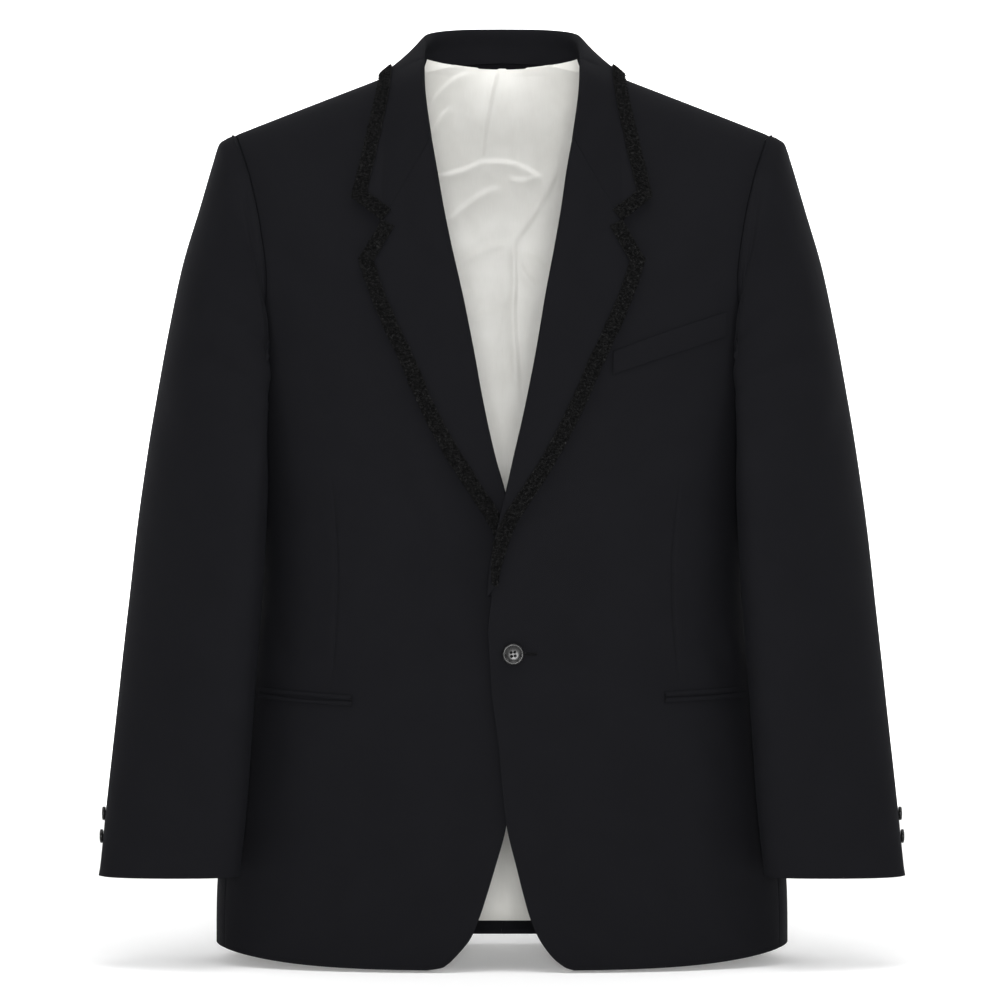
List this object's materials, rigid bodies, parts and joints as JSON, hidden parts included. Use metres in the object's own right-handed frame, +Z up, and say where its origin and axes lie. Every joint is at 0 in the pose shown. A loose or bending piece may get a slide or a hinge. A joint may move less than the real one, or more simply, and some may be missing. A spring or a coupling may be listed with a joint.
{
  "type": "blazer",
  "caption": "Single-breasted notch-lapel dinner blazer in fine black wool with braid-trimmed collar and lapels, satin lining, cut-away fronts and jetted pockets, filled out as worn.",
  "frame": {"origin": "middle of the neck opening, level with the points where the shoulder seams meet the collar, in the plane of the shoulder seams: where the wearer's shoulders hold the coat up", "axes": "+Z up, -Y where the wearer faces, +X the wearer's left"},
  "size_m": [0.6798, 0.2432, 0.8063],
  "materials": {
    "black_wool": "matt fine worsted wool",
    "black_braid": "matt looped wool braid",
    "off_white_satin": "soft satin",
    "black_button": "semi-gloss"
  },
  "bodies": {
    "root": {"front_left": "black_wool", "front_right": "black_wool", "back_left": "black_wool", "back_right": "black_wool", "side_left": "black_wool", "side_right": "black_wool", "sleeve_upper_left": "black_wool", "sleeve_upper_right": "black_wool", "sleeve_under_left": "black_wool", "sleeve_under_right": "black_wool", "lapel_left": "black_wool", "lapel_right": "black_wool", "collar": "black_wool", "braid_lapel_left": "black_braid", "braid_lapel_right": "black_braid", "braid_collar": "black_braid", "lining_back_left": "off_white_satin", "lining_back_right": "off_white_satin", "lining_side_left": "off_white_satin", "lining_side_right": "off_white_satin", "chest_welt": "black_wool", "jet_upper_left": "black_wool", "jet_lower_left": "black_wool", "jet_upper_right": "black_wool", "jet_lower_right": "black_wool", "front_button": "black_button", "cuff_button_1_left": "black_button", "cuff_button_2_left": "black_button", "cuff_button_1_right": "black_button", "cuff_button_2_right": "black_button"}
  },
  "joints": []
}
